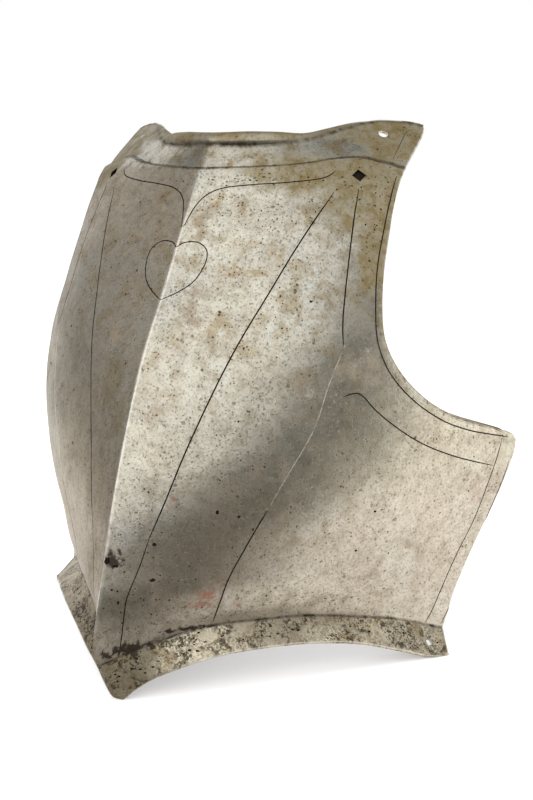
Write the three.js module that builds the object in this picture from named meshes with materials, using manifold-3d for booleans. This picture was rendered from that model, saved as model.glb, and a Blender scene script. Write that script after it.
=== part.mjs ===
// Breastplate of a cuirass: one plate of steel raised to a sharp medial ridge that dips to a low peak over
// the waist. Millimetres, +Z up, the wearer's front facing -Y, the origin on the ground under the middle of
// the plate, which stands on the tip and the two corners of its waist flange.
import * as THREE from 'three';
import { mergeVertices } from 'three/addons/utils/BufferGeometryUtils.js';
import Module from 'manifold-3d';

const wasm = await Module();
wasm.setup();

// Driving dimensions.
const PLATE_THICKNESS = 2.2;
const STEP_DEPTH = 2.4;
const STEP_RISE = 2.0;
const ROLL_RADIUS = 5.6;
const ROLL_KINK = THREE.MathUtils.degToRad(58);
const ROLL_TURN = THREE.MathUtils.degToRad(262);
const PLAIN_EDGE = 1.2;
const STRAP_HOLE = { x: 97, z: 351, diameter: 6.5 };
const SQUARE_RECESS = { x: 95.7, z: 322.5, side: 6.8, depth: 1.6 };
const FLANGE_HOLE = { across: 0.942, down: 0.56, diameter: 5 };

// Stations up the height z: how far forward the ridge stands, how wide the plate would reach at its side,
// how far back from the ridge that side lies, and how straight the section runs between the two.
const RIDGE = [[8, -100], [30, -114], [39, -119.5], [49, -120], [67, -115], [90, -107.5], [119, -99],
  [150, -88], [182, -74.5], [215, -57.5], [246, -37], [293, -7], [327, 15], [362, 38.5]];
const SIDE_WIDTH = [[8, 155.5], [38, 162], [73, 173], [108, 185], [145, 194], [362, 190]];
const SIDE_DEPTH = [[8, 170], [38, 197], [73, 202], [112, 200], [160, 194], [207, 189.5], [250, 177.5],
  [285, 166], [312, 145], [333, 149], [350, 152], [362, 146]];
const STRAIGHTNESS = [[8, 0.88], [40, 0.89], [75, 0.8], [110, 0.63], [170, 0.44], [240, 0.25], [300, 0.3],
  [350, 0.85], [362, 1.1]];
const SECTION_POWER = 2.6;
// The ridge is pinched out over the waist, and rounded off in the neck band.
const PINCH = [[8, 18], [28, 20], [42, 20], [56, 11], [72, 1], [80, 0], [88, 0], [362, 0]];
const PINCH_WIDTH = 11;
const SOFTNESS = [[8, 0], [300, 0], [308, 0], [316, 0.03], [330, 0.1], [345, 0.13], [362, 0.14]];

// The outline, as the width x and height z of points on the plate.
const SIDE_EDGE = [[157.1, 13.6], [162.3, 39], [172.7, 73], [184.9, 107.5], [192.6, 138], [193.6, 151]];
const ARM_EDGE = [[193.6, 151], [180, 160], [165, 169], [151.3, 182], [139, 199.5], [130, 219], [125, 240],
  [122, 263], [120.3, 288], [119.2, 308], [119, 325.5]];
const SHOULDER_EDGE = [[119, 325.5], [119.2, 337], [119, 347], [118.6, 353], [116.5, 356.5]];
// Heights of the three lines that cross the plate, by the share of the way from the ridge to the side.
const WAIST_LINE = [[0, 30], [0.06, 33], [0.11, 35], [0.19, 39.5], [0.3, 42.7], [0.45, 42], [0.56, 40.5],
  [0.71, 33.5], [0.84, 26.5], [1, 13.6]];
const STEP_LINE = [[0, 326.3], [0.25, 327.3], [0.5, 329.3], [0.78, 332.9], [0.9, 329.4], [1, 325.5]];
const NECK_LINE = [[0, 343.4], [0.2, 343.4], [0.33, 343.8], [0.48, 346.6], [0.6, 352], [0.7, 357.4],
  [0.76, 359.3], [0.86, 359.3], [0.95, 358.2], [1, 356.5]];
const ROLL_FADE = [[0, 1], [0.4, 1], [0.53, 0.34], [0.63, 0.17], [0.74, 0], [1, 0]];
// The flange's lower edge, by the same share: its width x, its depth y and its height z.
const FLANGE_EDGE = [[0, 0, -96, -1], [0.03, 5, -96, 1], [0.06, 11, -94.3, 6.8], [0.1, 20.5, -88.8, 13.8],
  [0.17, 35, -79.5, 20.5], [0.28, 54, -64.5, 27], [0.45, 81, -40, 29.7], [0.57, 99, -21.5, 28.6],
  [0.71, 123, 6.5, 22], [0.84, 143, 31.5, 10.5], [0.94, 157.5, 49.5, 2], [1, 166.3, 60.3, -0.6]];

// Where the plate is divided into facets.
const ACROSS = [0, 0.02, 0.05, 0.09, 0.14, 0.2, 0.27, 0.34, 0.41, 0.48, 0.55, 0.62, 0.69, 0.76, 0.82, 0.88,
  0.93, 0.97, 1];
const FLANGE_ROWS = 3;
const SIDE_ROWS = 9;
const ARM_ROWS = 12;
const BAND_ROWS = 3;
const ROLL_ROWS = 7;
const RIDGE_AT_ARMPIT = 178;

// A smooth curve through stations [place, value], with a slope at each that weighs its two neighbours.
function through(stations, column = 1) {
  const places = stations.map((station) => station[0]);
  const values = stations.map((station) => station[column]);
  const gaps = places.slice(1).map((place, i) => place - places[i]);
  const rises = gaps.map((gap, i) => (values[i + 1] - values[i]) / gap);
  const last = gaps.length - 1;
  const slopes = places.map((_, i) => {
    if (i === 0) return rises[0];
    if (i > last) return rises[last];
    return (gaps[i] * rises[i - 1] + gaps[i - 1] * rises[i]) / (gaps[i] + gaps[i - 1]);
  });
  return (place) => {
    const after = places.findIndex((station) => station >= place);
    const i = THREE.MathUtils.clamp(after - 1, 0, last);
    const t = THREE.MathUtils.clamp((place - places[i]) / gaps[i], 0, 1);
    return values[i] + (values[i + 1] - values[i]) * t * t * (3 - 2 * t)
      + gaps[i] * t * (1 - t) * (slopes[i] * (1 - t) - slopes[i + 1] * t);
  };
}

const ridge = through(RIDGE);
const sideWidth = through(SIDE_WIDTH);
const sideDepth = through(SIDE_DEPTH);
const straightness = through(STRAIGHTNESS);
const pinch = through(PINCH);
const softness = through(SOFTNESS);

// The raised form: the point of the plate's outer face at width x and height z.
function onPlate(x, z) {
  const straight = straightness(z);
  const soft = softness(z);
  const fin = pinch(z);
  const width = Math.abs(x) / sideWidth(z);
  const share = Math.hypot(width, soft) - soft * (1 - width);
  const section = straight * share + (1 - straight) * share ** SECTION_POWER;
  const pinched = fin * (1 - Math.exp(-Math.abs(x) / PINCH_WIDTH));
  return new THREE.Vector3(x, ridge(z) + pinched + (sideDepth(z) - fin) * section, z);
}

// The outward normal there.
function normalOnPlate(x, z) {
  const step = 0.5;
  const along = onPlate(x + step, z).sub(onPlate(x - step, z));
  const up = onPlate(x, z + step).sub(onPlate(x, z - step));
  return along.cross(up).normalize();
}

const smoothLine = (points) => new THREE.SplineCurve(points.map(([x, z]) => new THREE.Vector2(x, z)));
const sideEdge = smoothLine(SIDE_EDGE);
const armEdge = smoothLine(ARM_EDGE);
const shoulderEdge = smoothLine(SHOULDER_EDGE);
const waistLine = through(WAIST_LINE);
const stepLine = through(STEP_LINE);
const neckLine = through(NECK_LINE);
const rollFade = through(ROLL_FADE);
const flangeEdge = [1, 2, 3].map((column) => through(FLANGE_EDGE, column));

// A row across the main field: its ends are on the ridge and on the outline, and it takes its bend from
// the waist line below and the step line above.
function fieldRow(ridgeHeight, edge, fromWaist) {
  const bend = (line, share) => line(share) - THREE.MathUtils.lerp(line(0), line(1), share);
  return (share) => {
    const height = THREE.MathUtils.lerp(ridgeHeight, edge.y, share)
      + (1 - fromWaist) * bend(waistLine, share) + fromWaist * bend(stepLine, share);
    return onPlate(share * edge.x, height);
  };
}

// A row of the recessed neck band, from the step (0) to the neck line (1).
function bandPoint(share, rise) {
  const edge = shoulderEdge.getPointAt(rise);
  const height = THREE.MathUtils.lerp(stepLine(share), neckLine(share), rise);
  const x = share * edge.x;
  return onPlate(x, height).addScaledVector(normalOnPlate(x, height), -STEP_DEPTH);
}

// The neck edge is turned out at a crease and then rolled inwards round a circle. The roll fades out
// towards the shoulders, where a plain edge is left.
function rollPoint(share, turned) {
  const fade = Math.max(rollFade(share), 0);
  const crease = bandPoint(share, 1);
  const x = share * shoulderEdge.getPointAt(1).x;
  const out = normalOnPlate(x, neckLine(share));
  const near = 0.01;
  const along = bandPoint(Math.min(share + near, 1), 1).sub(bandPoint(Math.max(share - near, 0), 1));
  if (share < near) along.set(1, 0, 0);
  const up = out.clone().cross(along).normalize();
  const start = ROLL_KINK * fade;
  const end = start - ROLL_TURN * fade * turned;
  const forward = ROLL_RADIUS * (Math.cos(end) - Math.cos(start));
  const upward = ROLL_RADIUS * (Math.sin(start) - Math.sin(end)) + PLAIN_EDGE * (1 - fade) * turned;
  return crease.addScaledVector(out, forward).addScaledVector(up, upward);
}

function plateRows() {
  const rows = [];
  const hem = (share) => new THREE.Vector3(...flangeEdge.map((curve) => curve(share)));
  const waist = fieldRow(waistLine(0), sideEdge.getPointAt(0), 0);
  for (let i = 0; i < FLANGE_ROWS; i += 1) {
    rows.push((share) => hem(share).lerp(waist(share), i / FLANGE_ROWS));
  }
  const fieldRows = SIDE_ROWS + ARM_ROWS;
  for (let i = 0; i <= fieldRows; i += 1) {
    const below = i <= SIDE_ROWS;
    const part = below ? i / SIDE_ROWS : (i - SIDE_ROWS) / ARM_ROWS;
    const edge = (below ? sideEdge : armEdge).getPointAt(part);
    const ridgeHeight = below
      ? THREE.MathUtils.lerp(waistLine(0), RIDGE_AT_ARMPIT, part)
      : THREE.MathUtils.lerp(RIDGE_AT_ARMPIT, stepLine(0), part);
    rows.push(fieldRow(ridgeHeight, edge, i / fieldRows));
  }
  const firstRise = STEP_RISE / (neckLine(0) - stepLine(0));
  for (let i = 0; i < BAND_ROWS; i += 1) {
    const rise = THREE.MathUtils.lerp(firstRise, 1, i / (BAND_ROWS - 1));
    rows.push((share) => bandPoint(share, rise));
  }
  for (let i = 1; i <= ROLL_ROWS; i += 1) {
    rows.push((share) => rollPoint(share, i / ROLL_ROWS));
  }
  return rows;
}

// A closed wall of the plate's thickness behind the outer face that the rows describe.
function plateGeometry() {
  const shares = [...ACROSS.slice(1).reverse().map((share) => -share), ...ACROSS];
  const rows = plateRows();
  const width = shares.length;
  const outer = rows.flatMap((row) => shares.map((share) => {
    const point = row(Math.abs(share));
    return share < 0 ? point.setX(-point.x) : point;
  }));
  const faces = [];
  for (let j = 0; j + 1 < rows.length; j += 1) {
    for (let i = 0; i + 1 < width; i += 1) {
      const corner = j * width + i;
      const mirrored = i < (width - 1) / 2;
      if (mirrored) {
        faces.push([corner, corner + 1, corner + width], [corner + 1, corner + width + 1, corner + width]);
      } else {
        faces.push([corner, corner + 1, corner + width + 1], [corner, corner + width + 1, corner + width]);
      }
    }
  }
  const face = new THREE.BufferGeometry().setFromPoints(outer);
  face.setIndex(faces.flat());
  face.computeVertexNormals();
  const normals = face.getAttribute('normal');
  const inner = outer.map((point, i) => {
    const normal = new THREE.Vector3().fromBufferAttribute(normals, i);
    return point.clone().addScaledVector(normal, -PLATE_THICKNESS);
  });
  const count = outer.length;
  const last = count - width;
  const border = [
    ...shares.map((_, i) => i),
    ...rows.slice(1).map((_, j) => (j + 1) * width + width - 1),
    ...shares.slice(1).map((_, i) => last + width - 2 - i),
    ...rows.slice(1, -1).map((_, j) => last - (j + 1) * width),
  ];
  const walls = border.flatMap((near, i) => {
    const next = border[(i + 1) % border.length];
    return [[near, near + count, next + count], [near, next + count, next]];
  });
  const back = faces.map(([a, b, c]) => [a + count, c + count, b + count]);
  const geometry = new THREE.BufferGeometry().setFromPoints([...outer, ...inner]);
  geometry.setIndex([...faces, ...back, ...walls].flat());
  return geometry;
}

function toManifold(geometry) {
  const bare = geometry.clone();
  bare.deleteAttribute('normal');
  bare.deleteAttribute('uv');
  const merged = mergeVertices(bare, 1e-4);
  return new wasm.Manifold(new wasm.Mesh({
    numProp: 3,
    vertProperties: new Float32Array(merged.getAttribute('position').array),
    triVerts: new Uint32Array(merged.index.array),
  }));
}

function toGeometry(manifold) {
  const { vertProperties, triVerts } = manifold.getMesh();
  const geometry = new THREE.BufferGeometry();
  geometry.setAttribute('position', new THREE.BufferAttribute(new Float32Array(vertProperties), 3));
  geometry.setIndex(new THREE.BufferAttribute(new Uint32Array(triVerts), 1));
  geometry.computeVertexNormals();
  return geometry;
}

// A tool whose own Y axis is turned along the normal, at a point of the plate.
function punch(geometry, point, normal, side) {
  const facing = new THREE.Quaternion().setFromUnitVectors(new THREE.Vector3(0, 1, 0), normal);
  geometry.applyQuaternion(facing).translate(point.x, point.y, point.z);
  if (side < 0) {
    geometry.scale(-1, 1, 1);
    const { array } = geometry.index;
    for (let i = 0; i < array.length; i += 3) [array[i], array[i + 1]] = [array[i + 1], array[i]];
  }
  return toManifold(geometry);
}

function strapHolePunch(side) {
  const { x, z, diameter } = STRAP_HOLE;
  const radius = diameter / 2;
  return punch(new THREE.CylinderGeometry(radius, radius, 24, 16), onPlate(x, z), normalOnPlate(x, z), side);
}

// The square stands on its corner, and what is left of a stud still closes it at the back.
function squarePunch(side) {
  const { x, z, side: width, depth } = SQUARE_RECESS;
  const box = new THREE.BoxGeometry(width, 2 * depth, width).rotateY(Math.PI / 4);
  return punch(box, onPlate(x, z), normalOnPlate(x, z), side);
}

function flangeHolePunch(side) {
  const { across, down, diameter } = FLANGE_HOLE;
  const near = 0.02;
  const hem = (share) => new THREE.Vector3(...flangeEdge.map((curve) => curve(share)));
  const waist = fieldRow(waistLine(0), sideEdge.getPointAt(0), 0);
  const centre = waist(across).lerp(hem(across), down);
  const along = waist(across + near).sub(waist(across - near));
  const normal = along.cross(waist(across).sub(hem(across))).normalize();
  const radius = diameter / 2;
  return punch(new THREE.CylinderGeometry(radius, radius, 16, 12), centre, normal, side);
}

// What stands below the ground is ground away, which leaves a small flat foot at the tip and the corners.
function groundCut() {
  const depth = 20;
  return toManifold(new THREE.BoxGeometry(500, 500, depth).translate(0, 0, -depth / 2));
}

function breastplate() {
  let plate = toManifold(plateGeometry());
  for (const side of [1, -1]) {
    for (const tool of [strapHolePunch(side), squarePunch(side), flangeHolePunch(side)]) {
      plate = plate.subtract(tool);
    }
  }
  plate = plate.subtract(groundCut());
  const geometry = toGeometry(plate);
  geometry.computeBoundingBox();
  geometry.translate(0, -geometry.boundingBox.getCenter(new THREE.Vector3()).y, 0);
  const steel = new THREE.MeshStandardMaterial({ color: 0xb3aba0, roughness: 0.45, metalness: 0.9 });
  const mesh = new THREE.Mesh(geometry, steel);
  mesh.name = 'breastplate';
  return mesh;
}

const group = new THREE.Group();
group.add(breastplate());

export default group;
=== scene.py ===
import math
import random

import bmesh
import bpy
from mathutils import Euler, Matrix, Vector, bvhtree, kdtree, noise


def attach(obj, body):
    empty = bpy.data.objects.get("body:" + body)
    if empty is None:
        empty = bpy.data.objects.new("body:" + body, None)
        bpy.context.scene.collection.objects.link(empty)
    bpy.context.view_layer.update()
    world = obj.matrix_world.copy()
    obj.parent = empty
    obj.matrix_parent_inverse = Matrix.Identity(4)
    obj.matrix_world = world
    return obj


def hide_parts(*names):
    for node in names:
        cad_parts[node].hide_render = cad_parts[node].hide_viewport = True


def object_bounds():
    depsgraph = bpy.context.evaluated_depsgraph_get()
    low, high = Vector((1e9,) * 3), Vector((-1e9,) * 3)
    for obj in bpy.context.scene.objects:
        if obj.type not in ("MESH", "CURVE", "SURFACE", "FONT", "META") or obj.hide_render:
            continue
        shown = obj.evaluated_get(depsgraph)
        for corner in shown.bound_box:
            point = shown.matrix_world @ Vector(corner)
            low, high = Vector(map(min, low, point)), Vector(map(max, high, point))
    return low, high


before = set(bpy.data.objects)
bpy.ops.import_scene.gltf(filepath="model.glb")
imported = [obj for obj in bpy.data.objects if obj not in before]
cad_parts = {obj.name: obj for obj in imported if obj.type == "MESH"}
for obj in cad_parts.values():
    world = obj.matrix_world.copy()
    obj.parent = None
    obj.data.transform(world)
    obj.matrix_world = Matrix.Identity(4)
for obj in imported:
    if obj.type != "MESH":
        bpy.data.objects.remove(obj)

bl_info = {
    "name": "Cuirass Breastplate",
    "version": (1, 0, 0),
    "blender": (4, 5, 0),
    "location": "View3D > Sidebar > Armour",
    "description": "An aged steel breastplate with engraved lines, wear and a plain studio",
    "category": "Add Mesh",
}

CAD_LOW, CAD_HIGH = [tuple(corner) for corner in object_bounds()]
MM = 0.001
PLATE = "breastplate"

# ---------------------------------------------------------------- the pattern, in millimetres

# Stations up the height z: how far forward the ridge stands, how wide the plate would reach at its side,
# how far back from the ridge that side lies, and how straight the section runs between the two.
RIDGE = [(8, -100), (30, -114), (39, -119.5), (49, -120), (67, -115), (90, -107.5), (119, -99), (150, -88),
         (182, -74.5), (215, -57.5), (246, -37), (293, -7), (327, 15), (362, 38.5)]
SIDE_WIDTH = [(8, 155.5), (38, 162), (73, 173), (108, 185), (145, 194), (362, 190)]
SIDE_DEPTH = [(8, 170), (38, 197), (73, 202), (112, 200), (160, 194), (207, 189.5), (250, 177.5),
              (285, 166), (312, 145), (333, 149), (350, 152), (362, 146)]
STRAIGHTNESS = [(8, 0.88), (40, 0.89), (75, 0.8), (110, 0.63), (170, 0.44), (240, 0.25), (300, 0.3),
                (350, 0.85), (362, 1.1)]
SECTION_POWER = 2.6
# The ridge is pinched out over the waist, and rounded off in the neck band.
PINCH = [(8, 18), (28, 20), (42, 20), (56, 11), (72, 1), (80, 0), (88, 0), (362, 0)]
PINCH_WIDTH = 11
SOFTNESS = [(8, 0), (300, 0), (308, 0), (316, 0.03), (330, 0.1), (345, 0.13), (362, 0.14)]

# The outline, as the width x and height z of points on the plate.
SIDE_EDGE = [(157.1, 13.6), (162.3, 39), (172.7, 73), (184.9, 107.5), (192.3, 134), (193.6, 146)]
ARM_EDGE = [(193.6, 146), (191.6, 151), (186.5, 154.8), (180, 159), (165, 169), (151.3, 182), (139, 199.5),
            (130, 219), (125, 240), (122, 263), (120.3, 288), (119.2, 308), (119, 325.5)]
SHOULDER_EDGE = [(119, 325.5), (119.2, 337), (119, 347), (118.6, 353), (116.5, 356.5)]
# Heights of the three lines that cross the plate, by the share of the way from the ridge to the side.
WAIST_LINE = [(0, 30), (0.06, 33), (0.11, 35), (0.19, 39.5), (0.3, 42.7), (0.45, 42), (0.56, 40.5),
              (0.71, 33.5), (0.84, 26.5), (1, 13.6)]
STEP_LINE = [(0, 326.3), (0.25, 327.3), (0.5, 329.3), (0.78, 332.9), (0.9, 329.4), (1, 325.5)]
NECK_LINE = [(0, 343.4), (0.2, 343.4), (0.33, 343.8), (0.48, 346.6), (0.6, 352), (0.7, 357.4),
             (0.76, 359.3), (0.86, 359.3), (0.95, 358.2), (1, 356.5)]
ROLL_FADE = [(0, 1), (0.4, 1), (0.53, 0.34), (0.63, 0.17), (0.74, 0), (1, 0)]
# The flange's lower edge, by the same share: its width x, its depth y and its height z.
FLANGE_EDGE = [(0, 0, -96, -1), (0.03, 5, -96, 1), (0.06, 11, -94.3, 6.8), (0.1, 20.5, -88.8, 13.8),
               (0.17, 35, -79.5, 20.5), (0.28, 54, -64.5, 27), (0.45, 81, -40, 29.7),
               (0.57, 99, -21.5, 28.6), (0.71, 123, 6.5, 22), (0.84, 143, 31.5, 10.5),
               (0.94, 157.5, 49.5, 2), (1, 166.3, 60.3, -0.6)]
RIDGE_AT_ARMPIT = 178
STEP_DEPTH = 2.4
STEP_RISE = 2.0
ROLL_KINK = math.radians(58)
ROLL_TURN = math.radians(262)
PLAIN_EDGE = 1.2

# Rows of the sheet, from the flange's edge up to the end of the neck roll, and columns on each side.
ROWS = (("flange", 11), ("side", 46), ("arm", 60), ("step", 5), ("band", 12), ("roll", 16))
COLUMNS = 84
RIDGE_CROWDING = 0.45

# Holes: width x and height z of the centre on the plate, and across the flats. The square is a recess.
STRAP_HOLE = (97, 351, 6.5)
SQUARE_RECESS = (95.7, 322.5, 6.8)
SQUARE_DEPTH = 1.6
FLANGE_HOLE = (0.942, 0.56, 5)

# Engraved lines, as points (width x, height z) on the plate.
CHEST_LINE = [(85, 312), (74, 280), (64.7, 252), (56.5, 228), (45.6, 194), (35.2, 159), (27.6, 130),
              (20.8, 107)]
CHEST_LINE_FOOT = [(20.8, 107), (16.5, 88), (12, 70), (9.4, 52), (7, 38)]
ARM_LINE = [(98, 314), (102.4, 275), (106, 238), (109.2, 219)]
ARM_LINE_MIDDLE = [(109.2, 216), (104.4, 195), (98.9, 168), (86.1, 138), (79.5, 123)]
ARM_LINE_FOOT = [(78.2, 120), (72.4, 108), (60.7, 83), (54.3, 65.5), (46.5, 45.5)]
RIM_LINE = [(116, 322), (116.7, 298), (117.8, 268), (121.4, 240), (125.8, 219), (133.4, 200), (145.2, 182),
            (159.2, 167), (171.4, 158), (181, 153), (190, 148.5)]
SIDE_LINE = [(187.2, 148.7), (183.9, 131), (175, 98), (162.6, 64), (152, 31), (147.9, 20)]
EDGE_LINE = [(190.5, 131.7), (186.3, 114.3), (173.2, 73), (163, 38), (155.9, 16.5)]
UNDERARM_LINE = [(112.6, 188.4), (117.8, 189.8), (121.9, 186.9), (130.3, 175.1), (148.2, 155.4),
                 (165.2, 141.4), (183, 129.8)]
BORDER_LINE = [(81.9, 325), (75.7, 320.7), (56, 318), (34.6, 316.4), (16.4, 313.6), (6, 306), (0.6, 290)]
HEART_LINE = [(0, 277.6), (4.2, 280.6), (12.1, 281.2), (17.9, 278.7), (21.2, 274.8), (21.9, 268),
              (18.4, 258.4), (10.9, 251.7), (0, 246)]
SHOULDER_LINE = [(108.5, 354), (109.3, 345), (110, 333)]

# Corroded pits worth placing one by one: width x, height z, radius across and radius up.
PITS = [(23.3, 103, 1.4, 1.2), (23.4, 81, 1.8, 1.3), (54, 121, 1.3, 1.5), (64.5, 117, 1.2, 1.0),
        (71, 108, 0.8, 1.0), (1.2, 95, 1.8, 2.4), (5.5, 91.5, 2.3, 1.0), (8.5, 69, 0.7, 1.2),
        (88, 246, 0.8, 0.9), (61, 176, 0.8, 0.7), (39, 240, 0.9, 0.8), (117, 84, 0.9, 0.9),
        (128, 111, 0.9, 0.8), (-28, 262, 0.8, 1.2), (-60, 150, 0.9, 1.0), (-84, 221, 1.0, 0.9)]
# Crowds of small pits: middle, spread across and up, how many, and the radii of a pit across and up.
CROWDS = [
    ((57, 297), (22, 12), 34, (0.4, 0.65)),
    ((36, 300), (22, 14), 20, (0.45, 0.5)),
    ((97, 312), (18, 16), 22, (0.6, 0.5)),
    ((60, 57), (48, 9), 34, (1.3, 0.3)),
    ((120, 48), (36, 7), 20, (1.2, 0.3)),
    ((18, 66), (16, 22), 20, (0.6, 0.6)),
    ((70, 250), (50, 44), 34, (0.42, 0.42)),
    ((45, 190), (30, 60), 22, (0.4, 0.4)),
    ((110, 110), (60, 50), 30, (0.5, 0.5)),
    ((-50, 250), (40, 60), 22, (0.45, 0.6)),
    ((172, 80), (10, 70), 14, (0.6, 0.6)),
    ((35, 320), (44, 5), 44, (0.8, 0.45)),
    ((112, 300), (8, 60), 30, (0.5, 0.6)),
    ((20, 90), (30, 40), 26, (0.5, 0.5)),
]
# Crowds of pits on the flange: share of the way across, share of the way up, spreads, and how many.
FLANGE_CROWDS = [
    (0.07, 0.5, 0.06, 0.3, 26),
    (0.2, 0.55, 0.1, 0.3, 26),
    (0.45, 0.5, 0.2, 0.3, 22),
    (0.8, 0.5, 0.18, 0.3, 16),
]
PITS_SEED = 41
# Of a pit's radius: how deep its ball is, how far it is lifted and how uneven it is. The gap is in mm.
PIT_DEPTH, PIT_LIFT, PIT_UNEVEN, PIT_GAP = 0.55, 0.12, 0.34, 0.25
PIT_GRAIN = 1.1
FLANGE_PIT = (1.1, 0.65)
# Of an engraved line's radius: how far its wire lies above the surface, and how thin its ends are.
LINE_LIFT = 0.3
LINE_END = 0.55
SHARP_ANGLE = math.radians(34)
JUST_INSIDE = 1 - 1e-6


def through(stations, column=1):
    """A smooth curve through the stations, with a slope at each that weighs its two neighbours."""
    places = [station[0] for station in stations]
    values = [station[column] for station in stations]
    gaps = [after - before for before, after in zip(places, places[1:])]
    rises = [(values[i + 1] - values[i]) / gap for i, gap in enumerate(gaps)]
    slopes = [rises[0]]
    for i in range(1, len(gaps)):
        slopes.append((gaps[i] * rises[i - 1] + gaps[i - 1] * rises[i]) / (gaps[i] + gaps[i - 1]))
    slopes.append(rises[-1])

    def curve(place):
        i = 0
        while i < len(gaps) - 1 and places[i + 1] < place:
            i += 1
        t = min(max((place - places[i]) / gaps[i], 0.0), 1.0)
        return (values[i] + (values[i + 1] - values[i]) * t * t * (3 - 2 * t)
                + gaps[i] * t * (1 - t) * (slopes[i] * (1 - t) - slopes[i + 1] * t))

    return curve


def smooth_line(points, steps_each=16):
    """Points along a smooth line through the given ones, and how far along each lies, from 0 to 1."""
    ends = [points[0], *points, points[-1]]
    line = []
    for i in range(len(points) - 1):
        before, start, end, after = (Vector(p) for p in ends[i:i + 4])
        for step in range(steps_each):
            t = step / steps_each
            line.append(0.5 * (2 * start + (end - before) * t
                               + (2 * before - 5 * start + 4 * end - after) * t * t
                               + (3 * start - before - 3 * end + after) * t ** 3))
    line.append(Vector(points[-1]))
    run = [0.0]
    for near, far in zip(line, line[1:]):
        run.append(run[-1] + (far - near).length)
    return line, [length / run[-1] for length in run]


def along(points):
    """A function that gives the point a share of the way along the smooth line through the points."""
    line, run = smooth_line(points)

    def point_at(share):
        for i in range(1, len(run)):
            if share <= run[i]:
                return line[i - 1].lerp(line[i], (share - run[i - 1]) / (run[i] - run[i - 1]))
        return line[-1]

    return point_at


ridge_at = through(RIDGE)
side_width = through(SIDE_WIDTH)
side_depth = through(SIDE_DEPTH)
straightness = through(STRAIGHTNESS)
pinch_at = through(PINCH)
softness = through(SOFTNESS)
side_edge = along(SIDE_EDGE)
arm_edge = along(ARM_EDGE)
shoulder_edge = along(SHOULDER_EDGE)
waist_line = through(WAIST_LINE)
step_line = through(STEP_LINE)
neck_line = through(NECK_LINE)
roll_fade = through(ROLL_FADE)
flange_edge = [through(FLANGE_EDGE, column) for column in (1, 2, 3)]


def lerp(start, end, share):
    return start + (end - start) * share


def eased(share):
    share = min(max(share, 0.0), 1.0)
    return share * share * (3 - 2 * share)


def on_plate(x, z):
    """The point of the plate's outer face at width x and height z."""
    straight = straightness(z)
    soft = softness(z)
    fin = pinch_at(z)
    width = abs(x) / side_width(z)
    share = math.hypot(width, soft) - soft * (1 - width)
    section = straight * share + (1 - straight) * share ** SECTION_POWER
    pinched = fin * (1 - math.exp(-abs(x) / PINCH_WIDTH))
    return Vector((x, ridge_at(z) + pinched + (side_depth(z) - fin) * section, z))


def normal_on_plate(x, z):
    step = 0.5
    across = on_plate(x + step, z) - on_plate(x - step, z)
    up = on_plate(x, z + step) - on_plate(x, z - step)
    return across.cross(up).normalized()


# ---------------------------------------------------------------- the sheet's rows

def field_row(ridge_height, edge, from_waist):
    """A row across the main field, which takes its bend from the waist line below and the step above."""
    def bend(line, share):
        return line(share) - lerp(line(0), line(1), share)

    def row(share):
        height = (lerp(ridge_height, edge.y, share) + (1 - from_waist) * bend(waist_line, share)
                  + from_waist * bend(step_line, share))
        return on_plate(share * edge.x, height)

    return row


def hem(share):
    return Vector([curve(share) for curve in flange_edge])


waist_row = field_row(waist_line(0), side_edge(0), 0)


def flange_row(up):
    """A row of the flange, from its free edge (0) up to the crease at the waist (1)."""
    return lambda share: hem(share).lerp(waist_row(share), up)


def band_point(share, rise, depth):
    """A point of the neck band, from the step (0) to the neck line (1), set back by the depth."""
    edge = shoulder_edge(rise)
    height = lerp(step_line(share), neck_line(share), rise)
    x = share * edge.x
    return on_plate(x, height) - depth * normal_on_plate(x, height)


def roll_point(share, turned, radius):
    """The neck edge turns out at a crease and rolls inwards round a circle, fading to a plain edge."""
    near = 0.01
    fade = max(roll_fade(share), 0)
    crease = band_point(share, 1, STEP_DEPTH)
    out = normal_on_plate(share * shoulder_edge(1).x, neck_line(share))
    before = band_point(max(share - near, 0), 1, STEP_DEPTH)
    run = band_point(min(share + near, 1), 1, STEP_DEPTH) - before
    if share < near:
        run = Vector((1, 0, 0))
    up = out.cross(run).normalized()
    start = ROLL_KINK * fade
    end = start - ROLL_TURN * fade * turned
    forward = radius * (math.cos(end) - math.cos(start))
    upward = radius * (math.sin(start) - math.sin(end)) + PLAIN_EDGE * (1 - fade) * turned
    return crease + forward * out + upward * up


def sheet_rows(settings):
    """Every row of the sheet from the flange's edge to the end of the roll, with its section's name."""
    count = dict(ROWS)
    rows = []
    for i in range(count["flange"]):
        rows.append(("flange", flange_row(1 - (1 - i / count["flange"]) ** 1.5)))
    fields = count["side"] + count["arm"]
    for i in range(count["side"]):
        part = (i / count["side"]) ** 1.3
        height = lerp(waist_line(0), RIDGE_AT_ARMPIT, part)
        rows.append(("side", field_row(height, side_edge(part), part * count["side"] / fields)))
    for i in range(count["arm"] + 1):
        part = 1 - (1 - i / count["arm"]) ** 1.25
        height = lerp(RIDGE_AT_ARMPIT, step_line(0), part)
        from_waist = lerp(count["side"] / fields, 1, part)
        rows.append(("arm", field_row(height, arm_edge(part), from_waist)))
    first_rise = STEP_RISE / (neck_line(0) - step_line(0))
    for i in range(1, count["step"] + 1):
        share_up = i / count["step"]
        depth = settings.step_depth / MM * eased(share_up * 1.15 - 0.15)
        rows.append(("step", lambda share, r=first_rise * share_up, d=depth: band_point(share, r, d)))
    for i in range(1, count["band"]):
        rise = lerp(first_rise, 1, i / (count["band"] - 1))
        rows.append(("band", lambda share, r=rise: band_point(share, r, STEP_DEPTH)))
    radius = settings.roll_radius / MM
    for i in range(1, count["roll"] + 1):
        rows.append(("roll", lambda share, t=i / count["roll"]: roll_point(share, t, radius)))
    return rows


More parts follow.
